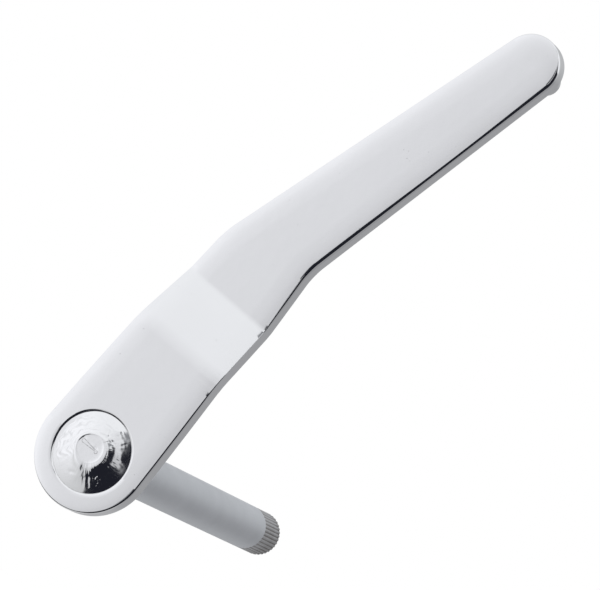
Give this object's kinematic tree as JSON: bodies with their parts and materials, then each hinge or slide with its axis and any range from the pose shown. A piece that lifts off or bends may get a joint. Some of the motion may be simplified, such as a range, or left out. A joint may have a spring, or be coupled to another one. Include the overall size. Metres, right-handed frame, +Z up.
{
  "type": "window crank lever",
  "caption": "Flat crank lever with a joggled, doglegged arm, a full-round tip and a riveted spindle with a serrated end.",
  "frame": {"origin": "on the spindle's axis, in the plane of the arm's back face, where the spindle's shoulder seats", "axes": "+Y along the spindle to its serrated end, so the arm's polished face looks along -Y; +Z up the arm from the hub; +X to the side the handle leans to"},
  "size_m": [0.0375, 0.1153, 0.1383],
  "materials": {
    "arm": "bright chrome plate over polished steel bar",
    "spindle": "turned steel: bright plated head, satin shank, darker bare serrations"
  },
  "bodies": {
    "root": {"arm": "arm", "spindle": "spindle"}
  },
  "joints": []
}
